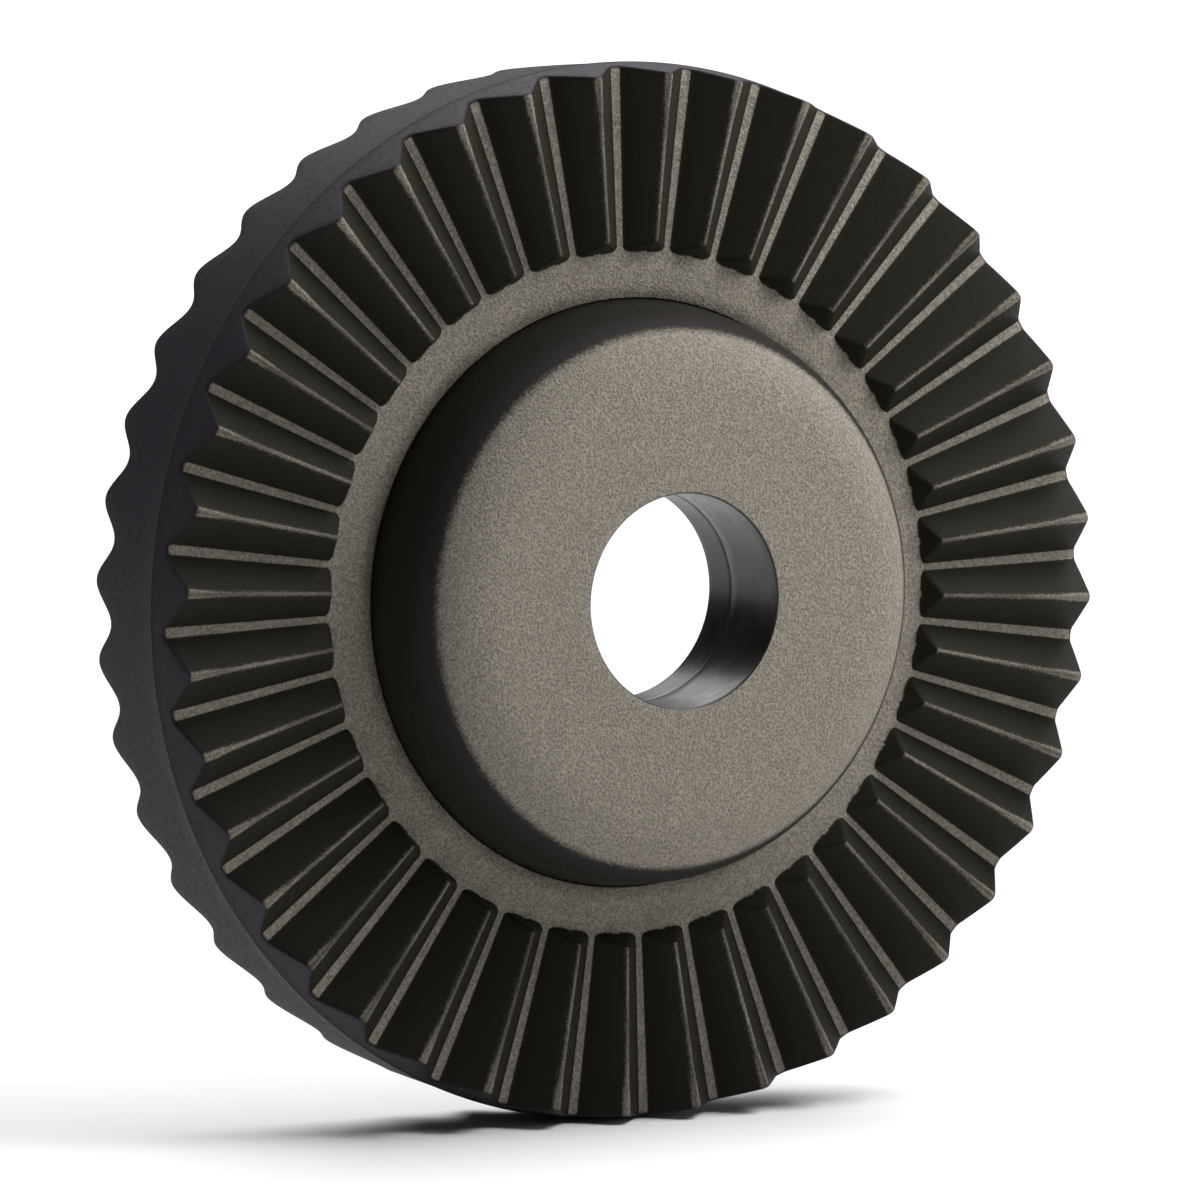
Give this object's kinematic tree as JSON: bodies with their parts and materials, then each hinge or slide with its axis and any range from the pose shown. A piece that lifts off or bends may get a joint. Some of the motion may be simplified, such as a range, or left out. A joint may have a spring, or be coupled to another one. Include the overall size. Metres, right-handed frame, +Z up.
{
  "type": "crown gear",
  "caption": "Flat crown gear wheel with straight radial teeth on its front face, a raised rounded hub, a plain through bore and a waved rear edge.",
  "frame": {"origin": "centre of the bore at its rear mouth", "axes": "+Y along the wheel's axis towards its back, the toothed front faces -Y, +Z up"},
  "size_m": [0.0396, 0.01, 0.0396],
  "materials": {
    "rim_plastic": "fine grained faces, smooth flanks",
    "hub_plastic": "fine grained",
    "bush_plastic": "smooth, satin gloss"
  },
  "bodies": {
    "root": {"toothed_rim": "rim_plastic", "hub": "hub_plastic", "bore_bush": "bush_plastic"}
  },
  "joints": []
}
